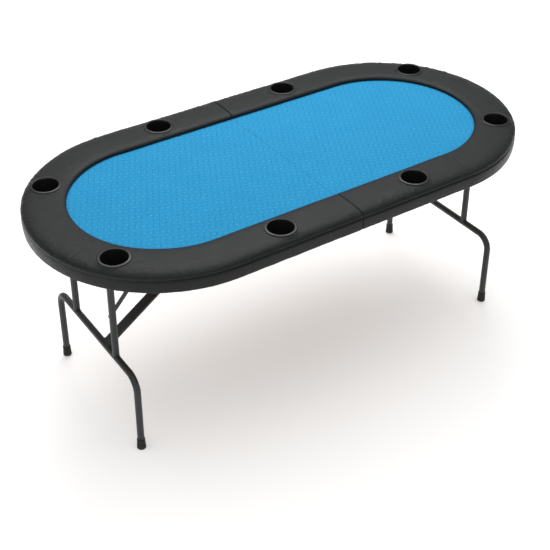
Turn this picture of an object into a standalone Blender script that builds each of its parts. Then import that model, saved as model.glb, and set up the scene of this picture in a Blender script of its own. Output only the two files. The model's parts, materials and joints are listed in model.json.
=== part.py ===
"""Folding oval card table: two identical halves hinged at the centre line.

Frame: metres, +Z up, origin on the floor under the middle of the table.
+X runs along the table's length and +Y to its back. One half is described at
x > 0; the other is the same half turned half a turn about Z.
"""
import math

import bmesh
import bpy
from mathutils import Vector

# --- driving dimensions -------------------------------------------------
GAP = 0.0003                 # space kept between pieces that touch
LAP = 0.001                  # how far joined solids run into each other
CLEAR = 0.05                 # how far a long cutter runs past the piece it cuts
TOP = 0.762                  # highest point of the padded rail
RAIL_OUTER = 0.455           # outer radius of each round end, half the width
ARC_CENTRE = 0.453           # where the straight sides meet the round end
RAIL_WIDTH = 0.144
SEAM_X = GAP / 2             # half the slit; the halves butt together at the seam
SKIRT_BOTTOM = 0.695
CREASE_Z = 0.737             # sewn line between the side panel and the roll
COVER_THICK = 0.0025
ROLL_POWER = 0.5             # squareness of the roll; 1 would give an ellipse
ROLL_STEPS = 9
ROLL_START = 0.0005          # the inner roll starts this far above the cloth
BOARD_TOP = 0.742
BOARD_THICK = 0.010
BOARD_OUTER = 0.4495
CLOTH_TOP = 0.744
CLOTH_OUTER = 0.3128         # tucked under the inner roll
APRON_INNER = 0.436
APRON_OUTER = 0.449
BATTEN_X = 0.012             # inner face of the batten along the seam
BATTEN_LAP = 0.004           # the batten's ends run this far into the rim strip
BLOCK_X = 0.046              # inner face of a hinge block
BLOCK_SPARE = 0.006          # block beyond the end of a hinge leaf
POCKET_X = 0.050
POCKET_SPARE = 0.003

CUP_CENTRE_R = 0.382         # cup holders sit on the middle of the rail
CUP_MID_X = 0.262
CUP_END_ANGLE = math.radians(38.6)
CUP_INNER_TOP = 0.042
CUP_INNER_BASE = 0.038
CUP_RIM = 0.052
CUP_WALL = 0.0015
CUP_BASE_Z = 0.7022
CUP_HOLE = 0.0441
CUP_HOLE_Z = (0.700, 0.780)
CUP_END_OUTSET = 0.004       # the end holders sit slightly further out
CUP_RIM_HEIGHT = 0.0021
CUP_RIM_EASE = 0.001         # width of the rim's two slopes
CUP_MOUTH_DROP = 0.0012

HINGE_Z = 0.694              # axis of the centre fold
HINGE_Y = 0.170
HINGE_HALF = 0.040
HINGE_LEAF_X = (0.0045, 0.040)
HINGE_LEAF_Z = (0.6945, 0.6960)
KNUCKLE_R = 0.0035
KNUCKLES = 5
HINGE_ARM_X = (0.0010, 0.0060)
HINGE_PIN_R = 0.0016
HINGE_HEAD_R = 0.0029
HINGE_HEAD_THICK = 0.0015
HINGE_PIN_LAP = 0.0004       # the pin's shank runs this far into its heads

PIVOT_X = 0.7278             # axis of a folding leg frame
PIVOT_Z = 0.7125
FOOT_X = 0.742
LEAN = math.atan2(FOOT_X - PIVOT_X, PIVOT_Z)
LEG_LENGTH = math.hypot(FOOT_X - PIVOT_X, PIVOT_Z)
FRAME_Y = -0.0168            # frames are staggered so that stowed feet pass
FOOT_Y = 0.286
UPRIGHT_Y = 0.146
UPRIGHT_FOOT = 0.002         # the upright's bore stops this far above the crossbar axis
SADDLE_GAP = 0.0008
CROSSBAR_DROP = 0.4225       # pivot to crossbar, along the leg
BEND_R = 0.052
BEND_STEPS = 6
TUBE_R = 0.0116
TUBE_WALL = 0.0015
FOOT_TOP_R = 0.0136
FOOT_BASE_R = 0.0154
FOOT_HEIGHT = 0.039
FOOT_SOLE = 0.006
FOOT_RING = 0.006            # height of the straight band round the sole
FOOT_SPARE = 0.001           # moulded below the floor, then trimmed level
GROUND_DEPTH = 0.02

BRACKET_PLATE = 0.0020
BRACKET_HALF = 0.030
EAR_OFFSET = 0.0131          # upright axis to the near face of a bracket ear
EAR_THICK = 0.0022
EAR_HALF = 0.013
EAR_STEPS = 9
PIVOT_PIN_R = 0.004
PIVOT_HEAD_R = 0.0068
PIVOT_HEAD_Y = (0.0005, 0.0030)
FLANGE_THICK = 0.0015

BRACE_Y = 0.077
BRACE_TOP = (0.150, 0.7278)  # x and z of the brace's pivot
BRACE_DROP = 0.395           # pivot to the brace's hook pin, along the leg
BRACE_HALF_WIDTH = 0.020
BRACE_HALF_DEPTH = 0.00325
BRACE_WALL = 0.0014
BRACE_PIVOT_R = 0.0018
BRACE_HEEL = 0.0007          # channel behind the pivot axis
BRACE_TOE = 0.007            # channel beyond the hook pin
BARREL_INSET = 0.0002
BRACE_SLOT = 0.012
BRACE_SLOT_LEAN = math.radians(33)
BRACE_EAR_GAP = 0.0006
BRACE_EAR_HALF = 0.010
BRACE_EAR_DROP = 0.007
BRACE_FLANGE_HALF = 0.016
BRACE_FLANGE_WIDTH = 0.018
HOOK_PIN_R = 0.0025
HOOK_REACH = 0.004           # hook pin beyond each face of the brace
HOOK_GAP = 0.0004
LUG_HALF_THICK = 0.0019
LUG_HALF_WIDTH = 0.008
HOOK_SEAT = 0.0014           # the hook pin sits this far below mid-depth

STAY_TOP = (0.4855, 0.722)
STAY_DROP = 0.265
STAY_HALF_WIDTH = 0.0075
STAY_THICK = 0.003
STAY_OFFSET = 0.0158         # upright axis to the stay's near face
STAY_STEPS = 7
STAY_SLOT = 0.016
STAY_SLOT_LEAN = math.radians(25)
STAY_EAR_GAP = 0.0005
STAY_EAR_HALF = 0.012
STAY_EAR_DROP = 0.010
STAY_FLANGE_HALF = 0.015
STAY_FLANGE_WIDTH = 0.012
STAY_PIVOT_R = 0.0025
STAY_PIVOT_HEAD_R = 0.0045
STAY_PIVOT_HEAD_Y = 0.0132   # upright axis to the outer face of that head
STAY_PIVOT_LAP = 0.0012
STUD_R = 0.004
STUD_HEAD_R = 0.0062
STUD_HEAD_THICK = 0.002

ARC_STEPS = 20
ROUND = 16
TUBE_SIDES = 12

COLOURS = {                  # sRGB 0-255, roughness, metallic
    "playing_cloth": ((70, 160, 209), 0.85, 0.0),
    "rail_leather": ((54, 56, 56), 0.42, 0.0),
    "rail_foam": ((216, 206, 178), 0.95, 0.0),
    "deck_board": ((176, 140, 98), 0.80, 0.0),
    "apron_board": ((150, 118, 82), 0.82, 0.0),
    "cup_plastic": ((20, 20, 22), 0.35, 0.0),
    "leg_paint": ((42, 42, 44), 0.45, 0.2),
    "zinc_steel": ((172, 172, 170), 0.38, 1.0),
    "foot_rubber": ((24, 24, 25), 0.80, 0.0),
}


# --- helpers -------------------------------------------------------------
def clear_scene():
    """Remove whatever the file opened with."""
    for item in list(bpy.data.objects):
        bpy.data.objects.remove(item, do_unlink=True)


def to_linear(value):
    """sRGB 0-255 to a linear colour value."""
    part = value / 255.0
    return part / 12.92 if part <= 0.04045 else ((part + 0.055) / 1.055) ** 2.4


def get_material(name):
    """Principled material of one named finish, made once."""
    found = bpy.data.materials.get(name)
    if found:
        return found
    colour, roughness, metallic = COLOURS[name]
    made = bpy.data.materials.new(name)
    made.use_nodes = True
    shader = made.node_tree.nodes["Principled BSDF"]
    shader.inputs["Base Color"].default_value = [to_linear(c) for c in colour] + [1.0]
    shader.inputs["Roughness"].default_value = roughness
    shader.inputs["Metallic"].default_value = metallic
    return made


def make_object(name, verts, faces, finish=None, smooth=False):
    """Mesh object from points and faces, with its faces turned outwards."""
    mesh = bpy.data.meshes.new(name)
    mesh.from_pydata([tuple(v) for v in verts], [], faces)
    work = bmesh.new()
    work.from_mesh(mesh)
    bmesh.ops.recalc_face_normals(work, faces=work.faces)
    work.to_mesh(mesh)
    work.free()
    obj = bpy.data.objects.new(name, mesh)
    bpy.context.collection.objects.link(obj)
    if finish:
        mesh.materials.append(get_material(finish))
    if smooth:
        mesh.shade_smooth()
        mesh.set_sharp_from_angle(angle=math.radians(35))
    return obj


def combine(target, tool, operation):
    """Boolean the tool into the target, apply it and drop the tool."""
    bpy.context.view_layer.update()
    modifier = target.modifiers.new("combine", "BOOLEAN")
    modifier.operation = operation
    modifier.solver = "EXACT"
    modifier.object = tool
    graph = bpy.context.evaluated_depsgraph_get()
    result = bpy.data.meshes.new_from_object(target.evaluated_get(graph))
    target.modifiers.remove(modifier)
    target.data = result
    bpy.data.objects.remove(tool, do_unlink=True)


def extrude(name, outline, start, end, axis="Z", finish=None, smooth=False):
    """Prism: a 2-D outline carried along one axis, from start to end."""
    def point(a, b, c):
        return {"Z": (a, b, c), "Y": (a, c, b), "X": (c, a, b)}[axis]

    count = len(outline)
    verts = [point(a, b, start) for a, b in outline]
    verts += [point(a, b, end) for a, b in outline]
    faces = [list(range(count)), list(range(2 * count - 1, count - 1, -1))]
    for i in range(count):
        j = (i + 1) % count
        faces.append([i, j, count + j, count + i])
    return make_object(name, verts, faces, finish, smooth)


def box(name, xs, ys, zs, finish=None):
    """Box between two x, two y and two z values."""
    outline = [(xs[0], ys[0]), (xs[1], ys[0]), (xs[1], ys[1]), (xs[0], ys[1])]
    return extrude(name, outline, zs[0], zs[1], "Z", finish)


def ring_points(radius, count, centre=(0.0, 0.0), start=0.0, sweep=2 * math.pi):
    """Points on a circle, or on an arc that includes both of its ends."""
    full = abs(sweep - 2 * math.pi) < 1e-9
    last = count if full else count - 1
    angles = [start + sweep * i / last for i in range(count)]
    return [(centre[0] + radius * math.cos(a), centre[1] + radius * math.sin(a)) for a in angles]


def rod(name, radius, start, end, centre=(0.0, 0.0), axis="Y", sides=ROUND, finish=None):
    """Solid round bar along one axis; centre holds its two other coordinates."""
    outline = ring_points(radius, sides, centre)
    return extrude(name, outline, start, end, axis, finish, smooth=True)


def lathe(name, profile, finish, centre=(0.0, 0.0), sides=ROUND):
    """Turned piece about a vertical axis, from a closed run of (radius, z)."""
    verts = []
    rings = []
    for radius, height in profile:
        if radius < 1e-9:
            rings.append([len(verts)] * sides)
            verts.append((centre[0], centre[1], height))
        else:
            rings.append(list(range(len(verts), len(verts) + sides)))
            verts += [(x, y, height) for x, y in ring_points(radius, sides, centre)]
    faces = []
    for here, there in zip(rings, rings[1:] + rings[:1]):
        for i in range(sides):
            j = (i + 1) % sides
            corners = list(dict.fromkeys([here[i], here[j], there[j], there[i]]))
            if len(corners) > 2:
                faces.append(corners)
    return make_object(name, verts, faces, finish, smooth=True)


def half_stations():
    """Stations round one half: (x of the centre, outward angle), seam to seam."""
    quarter = math.pi / 2
    turn = [(ARC_CENTRE, -quarter + math.pi * i / ARC_STEPS) for i in range(ARC_STEPS + 1)]
    return [(SEAM_X, -quarter)] + turn + [(SEAM_X, quarter)]


def half_outline(radius):
    """D-shaped outline of one half at the given distance from its spine."""
    return [(x + radius * math.cos(a), radius * math.sin(a)) for x, a in half_stations()]


def rail_sweep(name, profile, finish):
    """Carry a closed (radius, z) profile round the half, with flat seam ends."""
    verts = []
    for x, angle in half_stations():
        for radius, height in profile:
            verts.append((x + radius * math.cos(angle), radius * math.sin(angle), height))
    count = len(profile)
    last = len(verts) - count
    faces = [list(range(count)), list(range(last, last + count))[::-1]]
    for row in range(0, last, count):
        for i in range(count):
            j = (i + 1) % count
            faces.append([row + i, row + j, row + count + j, row + count + i])
    return make_object(name, verts, faces, finish, smooth=True)


def rail_roll(inset):
    """Domed top of the rail, from its outer side to its inner side."""
    middle = RAIL_OUTER - RAIL_WIDTH / 2
    half_width = RAIL_WIDTH / 2 - inset
    points = []
    for i in range(ROLL_STEPS + 1):
        angle = math.pi * i / ROLL_STEPS
        base = CREASE_Z if angle < math.pi / 2 else CLOTH_TOP + ROLL_START
        across = math.copysign(abs(math.cos(angle)) ** ROLL_POWER, math.cos(angle))
        rise = math.sin(angle) ** ROLL_POWER if 0 < i < ROLL_STEPS else 0.0
        points.append((middle + half_width * across, base + (TOP - inset - base) * rise))
    return points


def cup_places():
    """Centres of the four cup holders of one half."""
    end_x = ARC_CENTRE + (CUP_CENTRE_R + CUP_END_OUTSET) * math.cos(CUP_END_ANGLE)
    end_y = (CUP_CENTRE_R + CUP_END_OUTSET) * math.sin(CUP_END_ANGLE)
    return [(CUP_MID_X, -CUP_CENTRE_R), (end_x, -end_y), (end_x, end_y), (CUP_MID_X, CUP_CENTRE_R)]


def cut_cup_holes(target):
    """Open the four cup-holder holes through one piece of a half."""
    for x, y in cup_places():
        combine(target, rod("hole", CUP_HOLE, CUP_HOLE_Z[0], CUP_HOLE_Z[1], (x, y), "Z"), "DIFFERENCE")


# --- the fixed pieces of one half ---------------------------------------
def deck_board(name):
    """Board that carries the cloth, the rail and all the brackets."""
    outline = half_outline(BOARD_OUTER)
    board = extrude(name, outline, BOARD_TOP - BOARD_THICK, BOARD_TOP, "Z", "deck_board")
    cut_cup_holes(board)
    return board


def playing_cloth(name):
    """Cloth with its thin underlay, tucked under the rail's inner roll."""
    return extrude(name, half_outline(CLOTH_OUTER), BOARD_TOP + GAP, CLOTH_TOP, "Z", "playing_cloth")


def rail_foam(name):
    """Foam block of the padded rail, standing on the board's edge."""
    roll = rail_roll(COVER_THICK + 2 * GAP)[1:-1]
    profile = [(roll[0][0], BOARD_TOP + GAP)] + roll + [(roll[-1][0], BOARD_TOP + GAP)]
    foam = rail_sweep(name, profile, "rail_foam")
    cut_cup_holes(foam)
    return foam


def rail_cover(name):
    """Leatherette cover: side panel, roll over the foam, down to the cloth."""
    outside = [(RAIL_OUTER, SKIRT_BOTTOM)] + rail_roll(0.0)
    inside = [(RAIL_OUTER - COVER_THICK, SKIRT_BOTTOM)] + rail_roll(COVER_THICK)
    cover = rail_sweep(name, outside + inside[::-1], "rail_leather")
    cut_cup_holes(cover)
    return cover


def apron_frame(name):
    """Wooden frame under the board: rim strip, seam batten and hinge blocks."""
    under = BOARD_TOP - BOARD_THICK - GAP
    strip = [(APRON_INNER, SKIRT_BOTTOM), (APRON_OUTER, SKIRT_BOTTOM), (APRON_OUTER, under),
             (APRON_INNER, under)]
    frame = rail_sweep(name, strip, "apron_board")
    reach = APRON_INNER + BATTEN_LAP
    batten = box("batten", (SEAM_X, BATTEN_X), (-reach, reach), (SKIRT_BOTTOM, under))
    combine(frame, batten, "UNION")
    for side in (-1, 1):
        middle = side * HINGE_Y
        wide = HINGE_HALF + BLOCK_SPARE
        block = box("block", (SEAM_X, BLOCK_X), (middle - wide, middle + wide), (SKIRT_BOTTOM, under))
        combine(frame, block, "UNION")
        wide = HINGE_HALF + POCKET_SPARE
        pocket = box("pocket", (-LAP, POCKET_X), (middle - wide, middle + wide),
                     (SKIRT_BOTTOM - LAP, HINGE_LEAF_Z[1] + GAP))
        combine(frame, pocket, "DIFFERENCE")
        relief = rod("relief", KNUCKLE_R + LAP, middle - wide, middle + wide, (0.0, HINGE_Z))
        combine(frame, relief, "DIFFERENCE")
    return frame


def cup_holder(name, centre):
    """Moulded cup holder with a flat rim, open at the top."""
    rim_base = TOP + GAP
    rim_top = rim_base + CUP_RIM_HEIGHT
    floor = CUP_BASE_Z + CUP_WALL
    profile = [(0.0, floor), (CUP_INNER_BASE, floor), (CUP_INNER_TOP, rim_top - CUP_MOUTH_DROP),
               (CUP_INNER_TOP + CUP_RIM_EASE, rim_top), (CUP_RIM - CUP_RIM_EASE, rim_top),
               (CUP_RIM, rim_base),
               (CUP_INNER_TOP + CUP_WALL, rim_base), (CUP_INNER_BASE + CUP_WALL, CUP_BASE_Z),
               (0.0, CUP_BASE_Z)]
    return lathe(name, profile, "cup_plastic", centre)


def hinge_leaf(name, side, own_first):
    """Hinge leaf with its knuckles on the fold axis; own_first takes the odd ones."""
    middle = side * HINGE_Y
    ends = (middle - HINGE_HALF, middle + HINGE_HALF)
    leaf = box(name, HINGE_LEAF_X, ends, HINGE_LEAF_Z, "zinc_steel")
    pitch = 2 * HINGE_HALF / KNUCKLES
    for i in range(0 if own_first else 1, KNUCKLES, 2):
        start = ends[0] + pitch * i + GAP
        end = ends[0] + pitch * (i + 1) - GAP
        combine(leaf, box("arm", HINGE_ARM_X, (start, end), HINGE_LEAF_Z), "UNION")
        knuckle = rod("knuckle", KNUCKLE_R, start, end, (0.0, HINGE_Z), sides=TUBE_SIDES)
        combine(leaf, knuckle, "UNION")
    bore = rod("bore", HINGE_PIN_R + GAP, ends[0] - LAP, ends[1] + LAP, (0.0, HINGE_Z),
               sides=TUBE_SIDES)
    combine(leaf, bore, "DIFFERENCE")
    return leaf


def hinge_pin(name, side):
    """Hinge pin with a small head at each end of the barrel."""
    middle = side * HINGE_Y
    reach = HINGE_HALF + GAP
    shank = reach + HINGE_PIN_LAP
    pin = rod(name, HINGE_PIN_R, -shank, shank, sides=TUBE_SIDES, finish="zinc_steel")
    for end in (-1, 1):
        span = sorted((end * reach, end * (reach + HINGE_HEAD_THICK)))
        combine(pin, rod("head", HINGE_HEAD_R, span[0], span[1], sides=TUBE_SIDES), "UNION")
    pin.location = (0.0, middle, HINGE_Z)
    return pin


def leg_bracket(name, upright_y):
    """Bracket under the board: a base plate and two ears for one pivot pin."""
    under = BOARD_TOP - BOARD_THICK - GAP
    plate_z = (under - BRACKET_PLATE, under)
    reach = EAR_OFFSET + EAR_THICK
    bracket = box(name, (PIVOT_X - BRACKET_HALF, PIVOT_X + BRACKET_HALF),
                  (upright_y - reach, upright_y + reach), plate_z, "zinc_steel")
    for side in (-1, 1):
        span = sorted((upright_y + side * EAR_OFFSET, upright_y + side * reach))
        round_end = ring_points(EAR_HALF, EAR_STEPS, (PIVOT_X, PIVOT_Z), math.pi, math.pi)
        outline = round_end + [(PIVOT_X + EAR_HALF, plate_z[0] + LAP),
                               (PIVOT_X - EAR_HALF, plate_z[0] + LAP)]
        combine(bracket, extrude("ear", outline, span[0], span[1], "Y"), "UNION")
    hole = rod("hole", PIVOT_PIN_R + GAP, upright_y - CLEAR, upright_y + CLEAR, (PIVOT_X, PIVOT_Z))
    combine(bracket, hole, "DIFFERENCE")
    return bracket


def brace_bracket(name):
    """Two flanged ears joined by the brace's pivot pin."""
    under = BOARD_TOP - BOARD_THICK - GAP
    x, z = BRACE_TOP
    near = BRACE_HALF_WIDTH + BRACE_EAR_GAP
    bracket = rod(name, BRACE_PIVOT_R, BRACE_Y - near - LAP, BRACE_Y + near + LAP, (x, z),
                  sides=TUBE_SIDES, finish="zinc_steel")
    for side in (-1, 1):
        ear_y = sorted((BRACE_Y + side * near, BRACE_Y + side * (near + EAR_THICK)))
        ear_x = (x - BRACE_EAR_HALF, x + BRACE_EAR_HALF)
        combine(bracket, box("ear", ear_x, ear_y, (z - BRACE_EAR_DROP, under)), "UNION")
        flange_x = (x - BRACE_FLANGE_HALF, x + BRACE_FLANGE_HALF)
        flange_y = sorted((BRACE_Y + side * near, BRACE_Y + side * (near + BRACE_FLANGE_WIDTH)))
        flange = box("flange", flange_x, flange_y, (under - FLANGE_THICK, under))
        combine(bracket, flange, "UNION")
    return bracket


def stay_bracket(name, upright_y, inward):
    """Flanged ear with the stud that a stay turns on."""
    under = BOARD_TOP - BOARD_THICK - GAP
    x, z = STAY_TOP
    far = STAY_OFFSET + STAY_THICK + STAY_EAR_GAP
    ear_y = sorted((upright_y + inward * far, upright_y + inward * (far + EAR_THICK)))
    ear_x = (x - STAY_EAR_HALF, x + STAY_EAR_HALF)
    bracket = box(name, ear_x, ear_y, (z - STAY_EAR_DROP, under), "zinc_steel")
    flange_x = (x - STAY_FLANGE_HALF, x + STAY_FLANGE_HALF)
    flange_y = sorted((upright_y + inward * far, upright_y + inward * (far + STAY_FLANGE_WIDTH)))
    combine(bracket, box("flange", flange_x, flange_y, (under - FLANGE_THICK, under)), "UNION")
    stud_y = sorted((upright_y + inward * (far + LAP),
                     upright_y + inward * (STAY_OFFSET - STAY_PIVOT_LAP)))
    combine(bracket, rod("stud", STAY_PIVOT_R, stud_y[0], stud_y[1], (x, z), sides=TUBE_SIDES), "UNION")
    head_y = sorted((upright_y + inward * (STAY_OFFSET - STAY_EAR_GAP),
                     upright_y + inward * STAY_PIVOT_HEAD_Y))
    head = rod("head", STAY_PIVOT_HEAD_R, head_y[0], head_y[1], (x, z), sides=TUBE_SIDES)
    combine(bracket, head, "UNION")
    return bracket


# --- the folding leg frame, drawn hanging straight down from its pivot -----
def hang(obj):
    """Put a leg-frame piece on the pivot axis with the frame's outward lean."""
    obj.location = (PIVOT_X, 0.0, PIVOT_Z)
    obj.rotation_euler = (0.0, -LEAN, 0.0)
    return obj


def bow_path():
    """Centre line of the bent tube in (y, z): foot, bend, crossbar, bend, foot."""
    low = -(LEG_LENGTH - FOOT_SOLE - GAP)
    bar = -CROSSBAR_DROP
    centre_z = bar - BEND_R
    left = []
    for i in range(BEND_STEPS + 1):
        angle = math.pi - (math.pi / 2) * i / BEND_STEPS
        left.append((-FOOT_Y + BEND_R + BEND_R * math.cos(angle), centre_z + BEND_R * math.sin(angle)))
    right = [(-y, z) for y, z in left[::-1]]
    return [(-FOOT_Y, low)] + left + right + [(FOOT_Y, low)]


def bow_tube(name):
    """Bent tube: both lower legs and the crossbar between them, open at its ends."""
    path = [Vector((y + FRAME_Y, z)) for y, z in bow_path()]
    verts = []
    for radius in (TUBE_R, TUBE_R - TUBE_WALL):
        for i, here in enumerate(path):
            before = path[max(i - 1, 0)]
            after = path[min(i + 1, len(path) - 1)]
            along = (after - before).normalized()
            across = Vector((-along.y, along.x))
            for a, b in ring_points(radius, TUBE_SIDES):
                spot = here + across * a
                verts.append((b, spot.x, spot.y))
    rows = len(path)
    shell = rows * TUBE_SIDES
    faces = []
    for i in range(TUBE_SIDES):
        j = (i + 1) % TUBE_SIDES
        for layer in (0, shell):
            for row in range(rows - 1):
                at = layer + row * TUBE_SIDES
                faces.append([at + i, at + j, at + TUBE_SIDES + j, at + TUBE_SIDES + i])
        for at in (0, shell - TUBE_SIDES):
            faces.append([at + i, at + j, shell + at + j, shell + at + i])
    bow = make_object(name, verts, faces, "leg_paint", smooth=True)
    lug = box("lug", (-LUG_HALF_THICK, LUG_HALF_THICK),
              (BRACE_Y - LUG_HALF_WIDTH, BRACE_Y + LUG_HALF_WIDTH),
              (-CROSSBAR_DROP + TUBE_R - LAP, -BRACE_DROP))
    combine(bow, lug, "UNION")
    reach = BRACE_HALF_WIDTH + HOOK_REACH
    pin = rod("pin", HOOK_PIN_R, BRACE_Y - reach, BRACE_Y + reach, (0.0, -BRACE_DROP),
              sides=TUBE_SIDES)
    combine(bow, pin, "UNION")
    return hang(bow)


def upright(name, upright_y, inward):
    """Upright tube from its pivot down to the crossbar, with the stay's stud."""
    low = -CROSSBAR_DROP + UPRIGHT_FOOT
    centre = (0.0, upright_y)
    ends = (upright_y - CLEAR, upright_y + CLEAR)
    tube = rod(name, TUBE_R, low, TUBE_R, centre, "Z", TUBE_SIDES, "leg_paint")
    bore = rod("bore", TUBE_R - TUBE_WALL, low - LAP, TUBE_R + LAP, centre, "Z", TUBE_SIDES)
    combine(tube, bore, "DIFFERENCE")
    saddle = rod("saddle", TUBE_R + SADDLE_GAP, ends[0], ends[1], (0.0, -CROSSBAR_DROP))
    combine(tube, saddle, "DIFFERENCE")
    cross = rod("cross", PIVOT_PIN_R + GAP, ends[0], ends[1])
    combine(tube, cross, "DIFFERENCE")
    tip = STAY_OFFSET + STAY_THICK + GAP
    span = sorted((upright_y + inward * (TUBE_R - LAP), upright_y + inward * (tip + LAP)))
    combine(tube, rod("stud", STUD_R, span[0], span[1], (0.0, -STAY_DROP), sides=TUBE_SIDES), "UNION")
    span = sorted((upright_y + inward * tip, upright_y + inward * (tip + STUD_HEAD_THICK)))
    head = rod("head", STUD_HEAD_R, span[0], span[1], (0.0, -STAY_DROP), sides=TUBE_SIDES)
    combine(tube, head, "UNION")
    return hang(tube)


def pivot_pin(name, upright_y, inward):
    """Pin through both ears of a bracket and the upright, headed on the outside."""
    reach = EAR_OFFSET + EAR_THICK
    span = sorted((inward * reach, -inward * (reach + LAP)))
    pin = rod(name, PIVOT_PIN_R, span[0], span[1], sides=ROUND, finish="zinc_steel")
    span = sorted(-inward * (reach + y) for y in PIVOT_HEAD_Y)
    combine(pin, rod("head", PIVOT_HEAD_R, span[0], span[1]), "UNION")
    pin.location = (PIVOT_X, upright_y, PIVOT_Z)
    return pin


def rubber_foot(name, foot_y):
    """Rubber ferrule pushed over the tube, its sole trimmed level with the floor."""
    base = -LEG_LENGTH - FOOT_SPARE
    bore = TUBE_R + GAP
    top = -LEG_LENGTH + FOOT_HEIGHT
    floor = -LEG_LENGTH + FOOT_SOLE
    profile = [(0.0, base), (FOOT_BASE_R, base), (FOOT_BASE_R, base + FOOT_RING), (FOOT_TOP_R, top),
               (bore, top), (bore, floor), (0.0, floor)]
    foot = hang(lathe(name, profile, "foot_rubber", (0.0, foot_y), TUBE_SIDES))
    ground = box("ground", (FOOT_X - CLEAR, FOOT_X + CLEAR), (foot_y - CLEAR, foot_y + CLEAR),
                 (-GROUND_DEPTH, 0.0))
    combine(foot, ground, "DIFFERENCE")
    return foot


# --- braces and stays: pivoted under the board, hooked on the leg frame ----
def leg_point(drop):
    """World x and z of a point down the leg frame's centre line."""
    return PIVOT_X + drop * math.sin(LEAN), PIVOT_Z - drop * math.cos(LEAN)


def link_to(top, drop, seat=0.0):
    """Length and slope of a link whose seat, below its axis, meets the leg frame."""
    x, z = leg_point(drop)
    run = x - top[0]
    fall = top[1] - z
    length = math.sqrt(run ** 2 + fall ** 2 - seat ** 2)
    return length, math.atan2(fall, run) - math.atan2(seat, length)


def slot_cutter(length, seat_z, radius, lean, depth, half_width):
    """Slot open on the link's underside, leaning back towards its pivot."""
    back = math.sin(lean)
    down = math.cos(lean)
    tip = (length - back * depth, seat_z - down * depth)
    side = (down * radius, -back * radius)
    outline = [(length + side[0], seat_z + side[1]), (length - side[0], seat_z - side[1]),
               (tip[0] - side[0], tip[1] - side[1]), (tip[0] + side[0], tip[1] + side[1])]
    slot = extrude("slot", outline, -half_width, half_width, "Y")
    seat = rod("seat", radius, -half_width, half_width, (length, seat_z), sides=TUBE_SIDES)
    combine(slot, seat, "UNION")
    return slot


def brace(name):
    """Shallow pressed channel with a hooked lower end."""
    length, slope = link_to(BRACE_TOP, BRACE_DROP, HOOK_SEAT)
    wide = BRACE_HALF_WIDTH
    deep = BRACE_HALF_DEPTH
    section = [(-wide, -deep), (-wide + BRACE_WALL, -deep), (-wide + BRACE_WALL, deep - BRACE_WALL),
               (wide - BRACE_WALL, deep - BRACE_WALL), (wide - BRACE_WALL, -deep), (wide, -deep),
               (wide, deep), (-wide, deep)]
    link = extrude(name, section, -BRACE_HEEL, length + BRACE_TOE, "X", "leg_paint")
    within = wide - BARREL_INSET
    combine(link, rod("barrel", deep - BARREL_INSET, -within, within, sides=TUBE_SIDES), "UNION")
    combine(link, rod("hole", BRACE_PIVOT_R + GAP, -CLEAR, CLEAR, sides=TUBE_SIDES), "DIFFERENCE")
    slot = slot_cutter(length, -HOOK_SEAT, HOOK_PIN_R + HOOK_GAP, BRACE_SLOT_LEAN, BRACE_SLOT, CLEAR)
    combine(link, slot, "DIFFERENCE")
    link.location = (BRACE_TOP[0], BRACE_Y, BRACE_TOP[1])
    link.rotation_euler = (0.0, slope, 0.0)
    return link


def stay(name, upright_y, inward):
    """Flat bar with round ends, a pivot hole and an open hook slot."""
    length, slope = link_to(STAY_TOP, STAY_DROP)
    wide = STAY_HALF_WIDTH
    outline = ring_points(wide, STAY_STEPS, (0.0, 0.0), math.pi / 2, math.pi)
    outline += ring_points(wide, STAY_STEPS, (length, 0.0), -math.pi / 2, math.pi)
    near = upright_y + inward * STAY_OFFSET
    span = sorted((0.0, inward * STAY_THICK))
    link = extrude(name, outline, span[0], span[1], "Y", "leg_paint")
    combine(link, rod("hole", STAY_PIVOT_R + GAP, -CLEAR, CLEAR, sides=TUBE_SIDES), "DIFFERENCE")
    slot = slot_cutter(length, 0.0, STUD_R + HOOK_GAP, STAY_SLOT_LEAN, STAY_SLOT, CLEAR)
    combine(link, slot, "DIFFERENCE")
    link.location = (STAY_TOP[0], near, STAY_TOP[1])
    link.rotation_euler = (0.0, slope, 0.0)
    return link


# --- assembly ----------------------------------------------------------
def build_half(side):
    """Build one half and parent every piece to that half's own empty."""
    near, far = ("front", "back") if side == "right" else ("back", "front")
    pieces = [deck_board("deck_board_" + side), playing_cloth("playing_cloth_" + side),
              rail_foam("rail_foam_" + side), rail_cover("rail_cover_" + side),
              apron_frame("apron_frame_" + side)]
    spots = ["mid_" + near, "end_" + near, "end_" + far, "mid_" + far]
    for spot, centre in zip(spots, cup_places()):
        pieces.append(cup_holder("cup_holder_" + side + "_" + spot, centre))
    pieces.append(hinge_leaf("hinge_leaf_" + side + "_" + near, -1, True))
    pieces.append(hinge_leaf("hinge_leaf_" + side + "_" + far, 1, False))
    pieces.append(bow_tube("leg_bow_" + side))
    pieces.append(brace("brace_" + side))
    pieces.append(brace_bracket("brace_bracket_" + side))
    for where, sign in ((near, -1), (far, 1)):
        tag = side + "_" + where
        upright_y = FRAME_Y + sign * UPRIGHT_Y
        pieces.append(leg_bracket("leg_bracket_" + tag, upright_y))
        pieces.append(pivot_pin("pivot_pin_" + tag, upright_y, -sign))
        pieces.append(upright("leg_upright_" + tag, upright_y, -sign))
        pieces.append(rubber_foot("rubber_foot_" + tag, FRAME_Y + sign * FOOT_Y))
        pieces.append(stay("stay_" + tag, upright_y, -sign))
        pieces.append(stay_bracket("stay_bracket_" + tag, upright_y, -sign))
    frame = bpy.data.objects.new(side + "_half_frame", None)
    bpy.context.collection.objects.link(frame)
    for piece in pieces:
        piece.parent = frame
    if side == "left":
        frame.rotation_euler = (0.0, 0.0, math.pi)


clear_scene()
build_half("right")
build_half("left")
for place, sign in (("front", -1), ("back", 1)):
    hinge_pin("hinge_pin_" + place, sign)
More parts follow.
